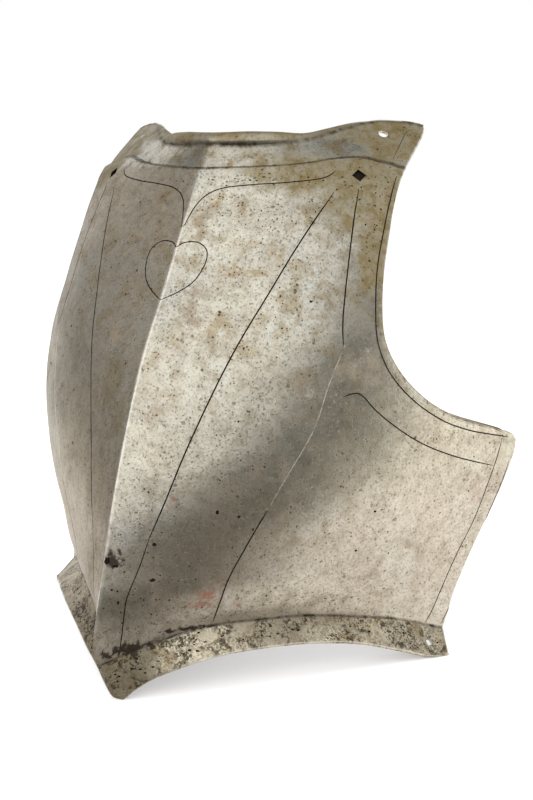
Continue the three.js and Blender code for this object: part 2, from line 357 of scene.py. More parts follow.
def column_share(index):
    """The share of the way from ridge to side at a column, with columns crowded at both ends."""
    even = abs(index) / COLUMNS
    return even - RIDGE_CROWDING * math.sin(math.tau * even) / math.tau


# ---------------------------------------------------------------- the plate's mesh

def relief(point, rim_distance):
    """How far the hammer and the years have moved the surface, in millimetres along its normal."""
    broad = noise.noise(point * 0.017 + Vector((3.1, 0.4, 7.7)))
    hammered = noise.noise(point * 0.055 + Vector((9.2, 4.4, 1.3)))
    fine = noise.noise(point * 0.16 + Vector((2.2, 8.4, 5.3)))
    turned_rim = -0.8 * max(0.0, 1 - rim_distance / 4.5) ** 2
    return 0.42 * broad + 0.13 * hammered + 0.035 * fine + turned_rim


def raised_sheet(settings):
    """The flat sheet as a grid, raised to the plate's form. Gives the mesh and its line of places."""
    rows = sheet_rows(settings)
    sheet = bmesh.new()
    bmesh.ops.create_grid(sheet, x_segments=2 * COLUMNS, y_segments=len(rows) - 1, size=1.0)
    lines = {"rim": [], "waist": [], "step": [], "roll": []}
    for vertex in sheet.verts:
        column = round(vertex.co.x * COLUMNS)
        row = round((vertex.co.y + 1) / 2 * (len(rows) - 1))
        share = column_share(column)
        place = rows[row][1](share)
        vertex.co = Vector((math.copysign(place.x, column) if column else 0.0, place.y, place.z))
        if abs(column) == COLUMNS or row in (0, len(rows) - 1):
            lines["rim"].append(vertex.co.copy())
        if row == dict(ROWS)["flange"]:
            lines["waist"].append(vertex.co.copy())
        if rows[row][0] == "step":
            lines["step"].append(vertex.co.copy())
        if rows[row][0] == "band" and rows[row + 1][0] == "roll":
            lines["roll"].append(vertex.co.copy())
    rim = nearest(lines["rim"])
    sheet.normal_update()
    outward = 1 if sum(face.normal.y for face in sheet.faces) < 0 else -1
    moves = []
    for vertex in sheet.verts:
        distance = rim.find(vertex.co)[2]
        armpit = eased((vertex.co.z - 140) / 12) * eased((335 - vertex.co.z) / 20)
        height = vertex.co.z
        calm = eased(height / 40 - 0.2) * lerp(1.0, 0.3, eased((height - 320) / 20))
        moves.append(relief(vertex.co, lerp(99, distance, armpit)) * calm)
    for vertex, move in zip(sheet.verts, moves):
        vertex.co += vertex.normal * outward * move
    if outward < 0:
        bmesh.ops.reverse_faces(sheet, faces=sheet.faces)
    return sheet, lines


def nearest(points):
    tree = kdtree.KDTree(len(points))
    for i, point in enumerate(points):
        tree.insert(point, i)
    tree.balance()
    return tree


def plate_wall(sheet, settings):
    """Gives the sheet its thickness, softens its cut edges and grinds its feet flat."""
    front = len(sheet.faces)
    sheet.normal_update()
    bmesh.ops.solidify(sheet, geom=sheet.faces[:], thickness=settings.thickness / MM)
    bmesh.ops.recalc_face_normals(sheet, faces=sheet.faces)
    sheet.faces.index_update()
    sheet.normal_update()
    rim = [face for face in sheet.faces if face.index >= 2 * front]
    edges = {edge for face in rim for edge in face.edges
             if any(other.index < 2 * front for other in edge.link_faces)}
    for face in sheet.faces:
        face.smooth = True
        face.material_index = INNER if front <= face.index < 2 * front else OUTER
    bmesh.ops.bevel(sheet, geom=list(edges), offset=settings.rim_bevel / MM, offset_type="OFFSET",
                    segments=2, profile=0.5, affect="EDGES", material=-1, clamp_overlap=True)
    for vertex in sheet.verts:
        vertex.co.z = max(vertex.co.z, 0.0)


def into_frame(sheet):
    """Moves the millimetre form into the frame's metres, just inside the frame's box."""
    places = [vertex.co for vertex in sheet.verts]
    low = [min(place[axis] for place in places) * MM for axis in range(3)]
    high = [max(place[axis] for place in places) * MM for axis in range(3)]
    shrink = [min(1.0, JUST_INSIDE * (CAD_HIGH[axis] - CAD_LOW[axis]) / (high[axis] - low[axis]))
              for axis in range(3)]
    shift = [CAD_LOW[axis] - low[axis] * shrink[axis] for axis in range(3)]
    scaling = Matrix.Diagonal((MM * shrink[0], MM * shrink[1], MM * shrink[2], 1.0))
    return Matrix.Translation(shift) @ scaling


def new_object(name, mesh):
    made = bpy.data.objects.new(name, mesh)
    bpy.context.scene.collection.objects.link(made)
    return made


def settled_mesh(thing):
    """The mesh of an object as its modifiers and curves leave it."""
    bpy.context.view_layer.update()
    depsgraph = bpy.context.evaluated_depsgraph_get()
    return bpy.data.meshes.new_from_object(thing.evaluated_get(depsgraph), depsgraph=depsgraph)


def engraver(name, lines, surface, radius, material_index):
    """A cutter of round wires that lie about a third sunk in the surface along the lines, on both sides."""
    wires = bpy.data.curves.new(name, "CURVE")
    wires.dimensions = "3D"
    wires.bevel_depth = radius
    wires.bevel_resolution = 1
    wires.use_fill_caps = True
    for points, sides, strength in lines:
        route = smooth_line(points, steps_each=7)[0]
        for side in sides:
            places = []
            for x, z in route:
                place = into_place(side * x, z)
                hit, normal = surface.find_nearest(place)[:2]
                places.append(hit + normal * radius * LINE_LIFT)
            spline = wires.splines.new("POLY")
            spline.points.add(len(places) - 1)
            for i, (point, place) in enumerate(zip(spline.points, places)):
                point.co = (*place, 1.0)
                from_end = min(i, len(places) - 1 - i) / 4
                point.radius = strength * lerp(LINE_END, 1.0, min(from_end, 1.0))
    wire_object = new_object(name, wires)
    cutter = new_object(name + "_cutter", settled_mesh(wire_object))
    bpy.data.objects.remove(wire_object)
    closed = bmesh.new()
    closed.from_mesh(cutter.data)
    bmesh.ops.remove_doubles(closed, verts=closed.verts, dist=radius * 0.01)
    bmesh.ops.recalc_face_normals(closed, faces=closed.faces)
    closed.to_mesh(cutter.data)
    closed.free()
    cutter.data.materials.clear()
    for material in plate_materials():
        cutter.data.materials.append(material)
    for polygon in cutter.data.polygons:
        polygon.material_index = material_index
        polygon.use_smooth = True
    return cutter


def into_place(x, z):
    """The frame's place of a point of the plate's form."""
    return TO_FRAME["matrix"] @ on_plate(x, z)


def facing_out(centre, side, surface):
    """The matrix that stands a tool on the surface at a point of the form, its Z axis along the normal."""
    place = TO_FRAME["matrix"] @ Vector((side * centre.x, centre.y, centre.z))
    hit, normal = surface.find_nearest(place)[:2]
    return Matrix.Translation(hit) @ normal.to_track_quat("Z", "Y").to_matrix().to_4x4()


def cutter_object(name, tools):
    """The tools as one cutter, whose faces leave their own finishes behind."""
    mesh = bpy.data.meshes.new(name)
    tools.to_mesh(mesh)
    tools.free()
    for material in plate_materials():
        mesh.materials.append(material)
    return new_object(name, mesh)


def hole_cutter(surface):
    """The punches of the round holes and the square recesses, on both sides, as one mesh."""
    punches = bmesh.new()
    flange_at = flange_row(1 - FLANGE_HOLE[1])(FLANGE_HOLE[0])
    for side in (1, -1):
        for centre, across, corners, depth, finish in (
                (on_plate(*STRAP_HOLE[:2]), STRAP_HOLE[2], 28, 12, CUT),
                (on_plate(*SQUARE_RECESS[:2]), SQUARE_RECESS[2] * math.sqrt(2), 4, SQUARE_DEPTH, GROOVE),
                (flange_at, FLANGE_HOLE[2], 20, 12, CUT)):
            radius = across / 2 * MM
            made = bmesh.ops.create_cone(punches, cap_ends=True, segments=corners, radius1=radius,
                                         radius2=radius, depth=2 * depth * MM,
                                         matrix=facing_out(centre, side, surface))
            for face in {face for vertex in made["verts"] for face in vertex.link_faces}:
                face.material_index = finish
    return cutter_object("punches", punches)


def pit_cutter(surface):
    """Shallow corroded pits, some listed one by one and some in crowds, none of which touch."""
    chance = random.Random(PITS_SEED)
    wanted = [(on_plate(x, z), x < 0, across, up) for x, z, across, up in PITS]
    for (x, z), (spread_x, spread_z), count, (across, up) in CROWDS:
        for _ in range(count):
            place = on_plate(chance.gauss(x, spread_x / 2), chance.gauss(z, spread_z / 2))
            size = chance.uniform(0.55, 1.25)
            wanted.append((place, x < 0, across * size, up * size))
    for across, up, spread_across, spread_up, count in FLANGE_CROWDS:
        for i in range(count):
            share = min(max(chance.gauss(across, spread_across / 2), 0.02), 0.97)
            height = min(max(chance.gauss(up, spread_up / 2), 0.12), 0.88)
            size = chance.uniform(0.5, 1.3)
            wanted.append((flange_row(height)(share), i % 2 == 1,
                           FLANGE_PIT[0] * size, FLANGE_PIT[1] * size))
    pits = bmesh.new()
    taken = []
    for place, mirrored, across, up in wanted:
        place = Vector((-abs(place.x) if mirrored else place.x, place.y, place.z))
        reach = max(across, up)
        if any((place - other).length < reach + far + PIT_GAP for other, far in taken):
            continue
        taken.append((place, reach))
        least = min(across, up)
        sizes = Matrix.Diagonal((across * MM, up * MM, PIT_DEPTH * least * MM, 1.0))
        lift = Matrix.Translation((0.0, 0.0, PIT_LIFT * least * MM))
        made = bmesh.ops.create_icosphere(pits, subdivisions=2, radius=1.0,
                                          matrix=facing_out(place, 1, surface) @ lift @ sizes)
        for vertex in made["verts"]:
            vertex.co += noise.noise_vector(vertex.co / (PIT_GRAIN * MM)) * PIT_UNEVEN * reach * MM
    for face in pits.faces:
        face.material_index = GROOVE
    return cutter_object("pits", pits)


def carve(plate, cutters):
    """Cuts each cutter out of the plate for good."""
    for cutter in cutters:
        modifier = plate.modifiers.new(cutter.name, "BOOLEAN")
        modifier.operation = "DIFFERENCE"
        modifier.solver = "MANIFOLD"
        modifier.object = cutter
    carved = settled_mesh(plate)
    plate.modifiers.clear()
    plate.data = carved
    drop_crumbs(carved)
    for cutter in cutters:
        bpy.data.objects.remove(cutter)


def drop_crumbs(mesh):
    """Deletes everything loose that cutting leaves beside the largest shell."""
    solid = bmesh.new()
    solid.from_mesh(mesh)
    unseen = set(solid.verts)
    shells = []
    while unseen:
        shell = {unseen.pop()}
        front = list(shell)
        while front:
            reached = {edge.other_vert(vertex) for vertex in front for edge in vertex.link_edges} - shell
            shell |= reached
            front = list(reached)
        unseen -= shell
        shells.append(shell)
    shells.sort(key=len)
    crumbs = [vertex for shell in shells[:-1] for vertex in shell]
    bmesh.ops.delete(solid, geom=crumbs, context="VERTS")
    solid.to_mesh(mesh)
    solid.free()


def write_wear_and_shade_places(mesh, lines):
    """Stores how near each point lies to the rim, the waist crease, the step and the neck crease, which the
    outer face uses for wear and for painted shade in the creases.
    """
    reach = {"rim": 6.0, "waist": 9.0, "step": 6.0, "roll": 7.0}
    for name, points in lines.items():
        tree = nearest([TO_FRAME["matrix"] @ point for point in points])
        layer = mesh.attributes.new("near_" + name, "FLOAT", "POINT")
        values = [max(0.0, 1 - tree.find(vertex.co)[2] / (reach[name] * MM)) for vertex in mesh.vertices]
        layer.data.foreach_set("value", values)
    flange = mesh.attributes.new("on_flange", "FLOAT", "POINT")
    values = []
    for vertex in mesh.vertices:
        x, _, z = vertex.co / MM
        crease = waist_line(min(abs(x) / SIDE_EDGE[0][0], 1.0))
        values.append(eased((crease - z) / 1.5 + 0.5))
    flange.data.foreach_set("value", values)


# ---------------------------------------------------------------- finishes

OUTER, INNER, GROOVE, PALE_GROOVE, CUT = range(5)
MATERIAL_NAMES = ("aged_steel", "plate_back", "engraved_dark", "engraved_pale", "cut_edge")
TO_FRAME = {"matrix": Matrix.Identity(4)}


def put(tree, kind, inputs=None, **settings):
    """A new node with its settings and inputs, where an input is a value or another node's output."""
    node = tree.nodes.new(kind)
    for name, value in settings.items():
        setattr(node, name, value)
    for socket, value in (inputs or {}).items():
        if isinstance(value, bpy.types.NodeSocket):
            tree.links.new(value, node.inputs[socket])
        else:
            node.inputs[socket].default_value = value
    return node


def sums(tree, operation, first, second=0.0, third=0.0, clamp=False):
    node = put(tree, "ShaderNodeMath", {0: first, 1: second, 2: third}, operation=operation)
    node.use_clamp = clamp
    return node.outputs[0]


def ramp(tree, value, low, high, start=0.0, end=1.0):
    """The value's place between low and high, smoothly, as a number from start to end."""
    limits = {"Value": value, "From Min": low, "From Max": high, "To Min": start, "To Max": end}
    node = put(tree, "ShaderNodeMapRange", limits, interpolation_type="SMOOTHSTEP")
    return node.outputs["Result"]


def blend(tree, factor, first, second, mode="MIX"):
    node = put(tree, "ShaderNodeMix", data_type="RGBA", blend_type=mode)
    for socket, value in ((0, factor), (6, first), (7, second)):
        if isinstance(value, bpy.types.NodeSocket):
            tree.links.new(value, node.inputs[socket])
        elif socket == 0:
            node.inputs[socket].default_value = value
        else:
            node.inputs[socket].default_value = (*value[:3], 1.0)
    return node.outputs[2]


def group_tree(name, numbers, vectors=("Position",), outputs=("Mask",)):
    """A shader node group with its sockets, its input node and its output node."""
    tree = bpy.data.node_groups.new(name, "ShaderNodeTree")
    for socket in vectors:
        tree.interface.new_socket(socket, in_out="INPUT", socket_type="NodeSocketVector")
    for socket, value in numbers:
        made = tree.interface.new_socket(socket, in_out="INPUT", socket_type="NodeSocketFloat")
        made.default_value = value
    for socket in outputs:
        tree.interface.new_socket(socket, in_out="OUTPUT", socket_type="NodeSocketFloat")
    return tree, tree.nodes.new("NodeGroupInput").outputs, tree.nodes.new("NodeGroupOutput")


def clouds_group():
    """Soft patches: noise cut between two levels."""
    tree, given, output = group_tree("clouds", (("Scale", 20.0), ("Detail", 4.0), ("Low", 0.45),
                                                ("High", 0.6), ("Distortion", 0.4)))
    tone = put(tree, "ShaderNodeTexNoise", {"Vector": given["Position"], "Scale": given["Scale"],
                                            "Detail": given["Detail"], "Distortion": given["Distortion"],
                                            "Roughness": 0.6})
    tree.links.new(ramp(tree, tone.outputs["Fac"], given["Low"], given["High"]), output.inputs["Mask"])
    return tree


def pits_group():
    """Small corroded pits of uneven outline, of which only a share of the cells hold one."""
    tree, given, output = group_tree("pits", (("Scale", 300.0), ("Share", 0.2), ("Radius", 0.35),
                                              ("Softness", 0.08)))
    wobble = put(tree, "ShaderNodeTexNoise", {"Vector": given["Position"], "Scale": 900.0, "Detail": 3.0})
    shifted = put(tree, "ShaderNodeMix", {"Factor": 0.0012}, data_type="VECTOR")
    tree.links.new(given["Position"], shifted.inputs[4])
    tree.links.new(wobble.outputs["Color"], shifted.inputs[5])
    cells = put(tree, "ShaderNodeTexVoronoi", {"Vector": shifted.outputs[1], "Scale": given["Scale"]})
    colours = put(tree, "ShaderNodeSeparateColor", {"Color": cells.outputs["Color"]})
    chosen = sums(tree, "LESS_THAN", colours.outputs["Red"], given["Share"])
    radius = sums(tree, "MULTIPLY", given["Radius"], sums(tree, "ADD", 0.4, colours.outputs["Green"]))
    inner = sums(tree, "SUBTRACT", radius, given["Softness"])
    spot = ramp(tree, cells.outputs["Distance"], radius, inner)
    tree.links.new(sums(tree, "MULTIPLY", spot, chosen), output.inputs["Mask"])
    return tree


def blotch_group():
    """One stain: an oval about a centre, with a ragged outline."""
    tree, given, output = group_tree("blotch", (("Ragged", 0.5), ("Scale", 60.0), ("Soft", 0.5)),
                                     vectors=("Position", "Centre", "Size"))
    apart = put(tree, "ShaderNodeVectorMath", {0: given["Position"], 1: given["Centre"]},
                operation="SUBTRACT")
    scaled = put(tree, "ShaderNodeVectorMath", {0: apart.outputs[0], 1: given["Size"]}, operation="DIVIDE")
    far = put(tree, "ShaderNodeVectorMath", {0: scaled.outputs[0]}, operation="LENGTH").outputs["Value"]
    tone = put(tree, "ShaderNodeTexNoise", {"Vector": given["Position"], "Scale": given["Scale"],
                                            "Detail": 6.0})
    rough = sums(tree, "MULTIPLY", sums(tree, "SUBTRACT", tone.outputs["Fac"], 0.5), given["Ragged"])
    spread = sums(tree, "ADD", far, sums(tree, "MULTIPLY", rough, 4.0))
    inner = sums(tree, "SUBTRACT", 1.0, given["Soft"])
    tree.links.new(ramp(tree, spread, 1.0, inner), output.inputs["Mask"])
    return tree


def scratches_group():
    """Hair scratches in three directions."""
    tree, given, output = group_tree("scratches", (("Scale", 60.0), ("Amount", 0.5)))
    total = 0.0
    for turn, stretch in ((0.5, 26.0), (-0.9, 34.0), (1.9, 20.0)):
        turned = put(tree, "ShaderNodeMapping", {"Vector": given["Position"], "Rotation": (0.35, turn, 0.2),
                                                 "Scale": (1.0, stretch, stretch)})
        tone = put(tree, "ShaderNodeTexNoise", {"Vector": turned.outputs[0], "Scale": given["Scale"],
                                                "Detail": 2.0})
        near = sums(tree, "ABSOLUTE", sums(tree, "SUBTRACT", tone.outputs["Fac"], 0.5))
        total = sums(tree, "ADD", total, ramp(tree, near, 0.012, 0.0))
    tree.links.new(sums(tree, "MULTIPLY", total, given["Amount"]), output.inputs["Mask"])
    return tree


def streaks_group():
    """Fine streaks that run up the plate, as an old polish leaves."""
    tree, given, output = group_tree("streaks", (("Scale", 200.0),))
    drawn = put(tree, "ShaderNodeMapping", {"Vector": given["Position"], "Rotation": (0.35, 0.0, 0.0),
                                            "Scale": (1.0, 1.0, 0.11)})
    tone = put(tree, "ShaderNodeTexNoise", {"Vector": drawn.outputs[0], "Scale": given["Scale"],
                                            "Detail": 6.0, "Roughness": 0.65})
    tree.links.new(ramp(tree, tone.outputs["Fac"], 0.25, 0.75), output.inputs["Mask"])
    return tree


GROUP_MAKERS = {"clouds": clouds_group, "pits": pits_group, "blotch": blotch_group,
                "scratches": scratches_group, "streaks": streaks_group}


def use(tree, name, **inputs):
    """Places a node group, made once, and gives its mask."""
    group = bpy.data.node_groups.get(name) or GROUP_MAKERS[name]()
    node = put(tree, "ShaderNodeGroup", node_tree=group)
    for socket, value in inputs.items():
        if isinstance(value, bpy.types.NodeSocket):
            tree.links.new(value, node.inputs[socket])
        else:
            node.inputs[socket].default_value = value
    return node.outputs["Mask"]


def new_material(name):
    material = bpy.data.materials.new(name)
    material.use_nodes = True
    tree = material.node_tree
    shader = tree.nodes["Principled BSDF"]
    position = put(tree, "ShaderNodeTexCoord").outputs["Object"]
    return material, tree, shader, position


def stored(tree, name):
    return put(tree, "ShaderNodeAttribute", attribute_name=name).outputs["Fac"]


def both(tree, first, second):
    """The product of two masks, or a mask weakened by a number."""
    return sums(tree, "MULTIPLY", first, second)


def either(tree, first, second):
    return sums(tree, "MAXIMUM", first, second)


def graded(tree, mask, start, end):
    """A mask as a number from start, where it is 0, to end, where it is 1."""
    return ramp(tree, mask, 0.0, 1.0, start, end)


def clouds(tree, position, scale, low, high, detail=4.0):
    return use(tree, "clouds", Position=position, Scale=scale, Low=low, High=high, Detail=detail)


def pits(tree, position, scale, share, radius, softness):
    return use(tree, "pits", Position=position, Scale=scale, Share=share, Radius=radius, Softness=softness)


# Stains of the outer face, in metres: centre, size and how ragged each is.
PATINA_SPOTS = [
    ((0.104, 0.05, 0.318), (0.042, 0.08, 0.048), 0.25),
    ((0.080, 0.03, 0.325), (0.075, 0.07, 0.018), 0.25),
    ((0.116, 0.085, 0.345), (0.052, 0.08, 0.026), 0.25),
    ((0.114, 0.05, 0.280), (0.020, 0.06, 0.060), 0.35),
    ((-0.11, 0.07, 0.335), (0.04, 0.06, 0.04), 0.35),
]
UMBER_SPOTS = [
    ((-0.0225, -0.058, 0.196), (0.012, 0.04, 0.026), 0.5),
    ((-0.010, -0.070, 0.175), (0.007, 0.03, 0.016), 0.4),
    ((-0.022, -0.105, 0.075), (0.016, 0.04, 0.040), 0.8),
    ((-0.008, -0.11, 0.055), (0.006, 0.04, 0.02), 0.6),
]
BROWN_SPOTS = [
    ((-0.03, -0.05, 0.222), (0.014, 0.03, 0.018), 0.5),
    ((0.02, -0.02, 0.240), (0.014, 0.04, 0.02), 0.8),
    ((0.112, 0.03, 0.204), (0.024, 0.06, 0.020), 0.5),
    ((0.010, 0.0, 0.292), (0.012, 0.03, 0.016), 0.8),
]
RUST_SPOTS = [
    ((0.0464, -0.065, 0.067), (0.008, 0.02, 0.006), 0.7),
    ((0.0437, -0.067, 0.0605), (0.012, 0.02, 0.004), 0.7),
    ((0.0485, -0.063, 0.0685), (0.004, 0.02, 0.0035), 0.8),
]
ROSY_SPOTS = [
    ((0.1744, 0.0776, 0.114), (0.006, 0.03, 0.020), 0.5),
    ((0.052, -0.06, 0.075), (0.012, 0.03, 0.010), 0.6),
    ((0.086, -0.02, 0.176), (0.005, 0.03, 0.005), 0.6),
]
# Dark marks near the keel. The two lowest lie along the waist crease, where they paint the shade under the
# overhanging body as well as grime.
DARK_SPOTS = [
    ((0.004, -0.1, 0.095), (0.006, 0.02, 0.006), 0.8),
    ((0.010, -0.097, 0.036), (0.014, 0.03, 0.005), 0.8),
    ((0.038, -0.08, 0.043), (0.016, 0.03, 0.002), 0.9),
]
PALE_SPOTS = [
    ((0.116, 0.03, 0.209), (0.005, 0.03, 0.004), 0.8),
    ((0.1207, 0.03, 0.216), (0.004, 0.03, 0.003), 0.8),
    ((0.094, 0.0, 0.191), (0.006, 0.03, 0.005), 0.9),
]


def spots(tree, position, under, table, strength, soft, scale):
    """Adds the stains of a table to a mask."""
    for centre, size, ragged in table:
        spot = use(tree, "blotch", Position=position, Centre=centre, Size=size, Ragged=ragged, Soft=soft,
                   Scale=scale)
        under = either(tree, under, both(tree, spot, strength))
    return under


def aged_steel(settings):
    """The outer face: bright worn steel under patina, rust, pits and scratches, with old grime and painted
    shade in the creases, painted shade over the half left of the ridge, and a pale line of wear and painted
    highlight along the ridge.
    """
    material, tree, shader, position = new_material("aged_steel")
    near_rim, near_waist = stored(tree, "near_rim"), stored(tree, "near_waist")
    near_step, near_roll = stored(tree, "near_step"), stored(tree, "near_roll")
    on_flange = stored(tree, "on_flange")
    places = put(tree, "ShaderNodeSeparateXYZ", {0: position}).outputs
    broad = clouds(tree, position, 9.0, 0.36, 0.66)
    middle = clouds(tree, position, 38.0, 0.34, 0.68, 7.0)
    stained = clouds(tree, position, 70.0, 0.47, 0.70, 9.0)
    mottle = clouds(tree, position, 150.0, 0.40, 0.68, 9.0)
    grain = clouds(tree, position, 620.0, 0.44, 0.70, 6.0)
    brushed = use(tree, "streaks", Position=position, Scale=340.0)
    scratched = use(tree, "scratches", Position=position, Scale=22.0, Amount=1.0)
    left = ramp(tree, places["X"], 0.001, -0.001)
    above = ramp(tree, places["Z"], 0.12, 0.26)
    band = ramp(tree, places["Z"], 0.324, 0.330)

    patina = both(tree, band, graded(tree, stained, 0.02, 0.30))
    patina = either(tree, patina, both(tree, ramp(tree, places["Z"], 0.3425, 0.3475),
                                       graded(tree, middle, 0.75, 1.0)))
    rim_above = both(tree, ramp(tree, near_rim, 0.25, 0.70), ramp(tree, places["Z"], 0.19, 0.25))
    patina = either(tree, patina, both(tree, rim_above, graded(tree, mottle, 0.60, 0.95)))
    patina = spots(tree, position, patina, PATINA_SPOTS, 0.95, 0.60, 90.0)
    patina = spots(tree, position, patina, UMBER_SPOTS, 0.75, 0.9, 150.0)
    patina = both(tree, patina, graded(tree, mottle, 0.75, 1.0))
    brown = both(tree, stained, graded(tree, broad, 0.10, 0.42))
    # Below the step, the half left of the ridge is browned with brushed streaks: real streaks, and painted
    # shade over the side turned from the light.
    left = both(tree, left, ramp(tree, places["Z"], 0.329, 0.325))
    brown = either(tree, brown, both(tree, left, graded(tree, brushed, 0.24, 0.46)))
    brown = spots(tree, position, brown, BROWN_SPOTS, 0.62, 1.0, 110.0)
    rust = spots(tree, position, 0.0, RUST_SPOTS, 0.80, 0.95, 420.0)
    rust = spots(tree, position, rust, ROSY_SPOTS, 0.22, 1.0, 260.0)
    rusty_pits = pits(tree, position, 66.0, 0.34, 0.10, 0.07)
    rust = either(tree, rust, both(tree, rusty_pits, 0.65))

    crowd = graded(tree, stained, 0.42, 1.0)
    specks = pits(tree, position, 720.0, 0.30, 0.40, 0.2)
    fine_pits = pits(tree, position, 380.0, 0.28, 0.30, 0.15)
    small_pits = pits(tree, position, 190.0, 0.15, 0.22, 0.10)
    pitted = either(tree, both(tree, either(tree, specks, fine_pits), crowd), both(tree, small_pits, crowd))
    eaten = clouds(tree, position, 640.0, 0.46, 0.60, 9.0)
    eaten_broad = clouds(tree, position, 75.0, 0.36, 0.60, 4.0)
    eaten_wide = clouds(tree, position, 230.0, 0.50, 0.60, 8.0)
    eaten = either(tree, both(tree, eaten, graded(tree, eaten_broad, 0.25, 0.9)),
                   both(tree, eaten_wide, graded(tree, eaten_broad, 0.2, 0.85)))
    corroded = both(tree, on_flange, eaten)

    # A thin dark line along the waist crease, and a thicker dark patch at the keel's foot where the body
    # overhangs the flange: grime, and painted shade in the crease.
    keel = ramp(tree, sums(tree, "ABSOLUTE", places["X"]), 0.040, 0.008)
    thin = ramp(tree, near_waist, 0.80, 0.96)
    thick = both(tree, keel, ramp(tree, eaten, 0.0, 0.8, 0.1, 0.9))
    thick = both(tree, ramp(tree, near_waist, 0.30, 0.85), thick)
    crease = either(tree, both(tree, thin, graded(tree, mottle, 0.45, 0.95)), thick)
    # Dark lines under the neck roll and under the step's lip: grime, and painted shade in these creases.
    for near, low, mottled in ((near_roll, 0.55, graded(tree, mottle, 0.4, 0.9)),
                               (near_step, 0.80, graded(tree, mottle, 0.5, 0.9))):
        crease = either(tree, crease, both(tree, ramp(tree, near, low, 0.97), mottled))
    # The dark marks near the keel join the crease marks: grime, and painted shade at the crease.
    crease = spots(tree, position, crease, DARK_SPOTS, 0.9, 0.6, 240.0)
    # Grime in pits and corrosion on the flange, together with the crease marks, which are partly painted
    # shade.
    dirt_and_crease_shade = either(tree, either(tree, both(tree, pitted, 0.92), corroded), crease)
    # A pale line along the ridge: worn steel, and a painted highlight.
    ridge = both(tree, ramp(tree, sums(tree, "ABSOLUTE", places["X"]), 0.0016, 0.0004),
                 both(tree, ramp(tree, places["Z"], 0.045, 0.065), ramp(tree, places["Z"], 0.312, 0.285)))
    wear_and_ridge_highlight = both(tree, ramp(tree, near_rim, 0.80, 0.98), graded(tree, mottle, 1.0, 0.4))
    wear_and_ridge_highlight = either(tree, wear_and_ridge_highlight, both(tree, ridge, graded(tree, mottle, 1.0, 0.5)))
    wear_and_ridge_highlight = spots(tree, position, wear_and_ridge_highlight, PALE_SPOTS, 1.0, 0.7, 500.0)

    below = ramp(tree, places["Z"], 0.17, 0.08)
    # Grey mottle in the stained patches, stronger towards the bottom.
    low_grey_mottle = both(tree, stained, ramp(tree, places["Z"], 0.20, 0.10))
    gold = blend(tree, stained, settings.gold_colour, settings.ochre_colour)
    layers = [(below, 0.7, settings.rosy_colour),
              (middle, 0.48, settings.warm_colour),
              (both(tree, stained, above), 0.72, settings.ochre_colour),
              (mottle, 0.46, settings.mottle_colour),
              (low_grey_mottle, 0.34, settings.mottle_colour),
              (grain, 0.36, settings.grime_and_shade_colour),
              (on_flange, 0.8, gold),
              (brown, 1.0, settings.brown_and_shade_colour),
              (patina, 1.0, settings.patina_colour),
              (rust, 1.0, settings.rust_colour),
              (dirt_and_crease_shade, 1.0, settings.grime_and_shade_colour),
              (wear_and_ridge_highlight, 0.8, settings.pale_colour)]
    colour = blend(tree, broad, settings.steel_colour, settings.cool_colour)
    for mask, strength, layer in layers:
        colour = blend(tree, both(tree, mask, strength), colour, layer)
    tree.links.new(colour, shader.inputs["Base Color"])

    # This mask also holds the painted shade over the half left of the ridge.
    tarnish = either(tree, either(tree, brown, patina), rust)
    dull = either(tree, tarnish, dirt_and_crease_shade)
    dull = both(tree, dull, graded(tree, wear_and_ridge_highlight, 1.0, 0.2))
    metal = either(tree, graded(tree, tarnish, 0.97, 0.60), dirt_and_crease_shade)
    tree.links.new(metal, shader.inputs["Metallic"])
    shine = sums(tree, "ADD", graded(tree, middle, 0.28, 0.36), both(tree, dull, 0.30))
    shine = sums(tree, "ADD", shine, both(tree, grain, 0.05))
    tree.links.new(shine, shader.inputs["Roughness"])
    depth = both(tree, dirt_and_crease_shade, -1.0)
    for mask, height in ((scratched, -0.07), (mottle, 0.16), (brushed, 0.10)):
        depth = sums(tree, "ADD", depth, both(tree, mask, height))
    bump = put(tree, "ShaderNodeBump", {"Height": depth, "Strength": 0.6, "Distance": 0.00025})
    tree.links.new(bump.outputs[0], shader.inputs["Normal"])
    return material


def plate_back(settings):
    """The inner face: dark scale left by the forge, with hammer marks, rubbed places and old rust."""
    material, tree, shader, position = new_material("plate_back")
    near_rim = stored(tree, "near_rim")
    broad = clouds(tree, position, 11.0, 0.38, 0.64)
    middle = clouds(tree, position, 46.0, 0.44, 0.66, 8.0)
    fine = clouds(tree, position, 320.0, 0.42, 0.68, 8.0)
    pitted = pits(tree, position, 260.0, 0.22, 0.30, 0.18)
    rusty = both(tree, middle, ramp(tree, broad, 1.0, 0.0, 0.15, 0.75))
    rubbed = both(tree, broad, sums(tree, "SUBTRACT", 1.0, middle))
    rubbed = either(tree, rubbed, ramp(tree, near_rim, 0.6, 0.95))
    colour = blend(tree, fine, settings.back_colour, settings.scale_colour)
    colour = blend(tree, both(tree, rusty, 0.42), colour, settings.rust_colour)
    colour = blend(tree, both(tree, rubbed, 0.55), colour, settings.warm_colour)
    colour = blend(tree, both(tree, pitted, 0.8), colour, settings.grime_and_shade_colour)
    tree.links.new(colour, shader.inputs["Base Color"])
    tree.links.new(graded(tree, rusty, 0.85, 0.35), shader.inputs["Metallic"])
    tree.links.new(graded(tree, rubbed, 0.62, 0.42), shader.inputs["Roughness"])
    blows = put(tree, "ShaderNodeTexVoronoi", {"Vector": position, "Scale": 85.0, "Smoothness": 0.8},
                feature="SMOOTH_F1")
    depth = sums(tree, "SUBTRACT", both(tree, fine, 0.15), both(tree, pitted, 0.4))
    depth = sums(tree, "ADD", depth, both(tree, blows.outputs["Distance"], 1.6))
    bump = put(tree, "ShaderNodeBump", {"Height": depth, "Strength": 0.7, "Distance": 0.0006})
    tree.links.new(bump.outputs[0], shader.inputs["Normal"])
    return material


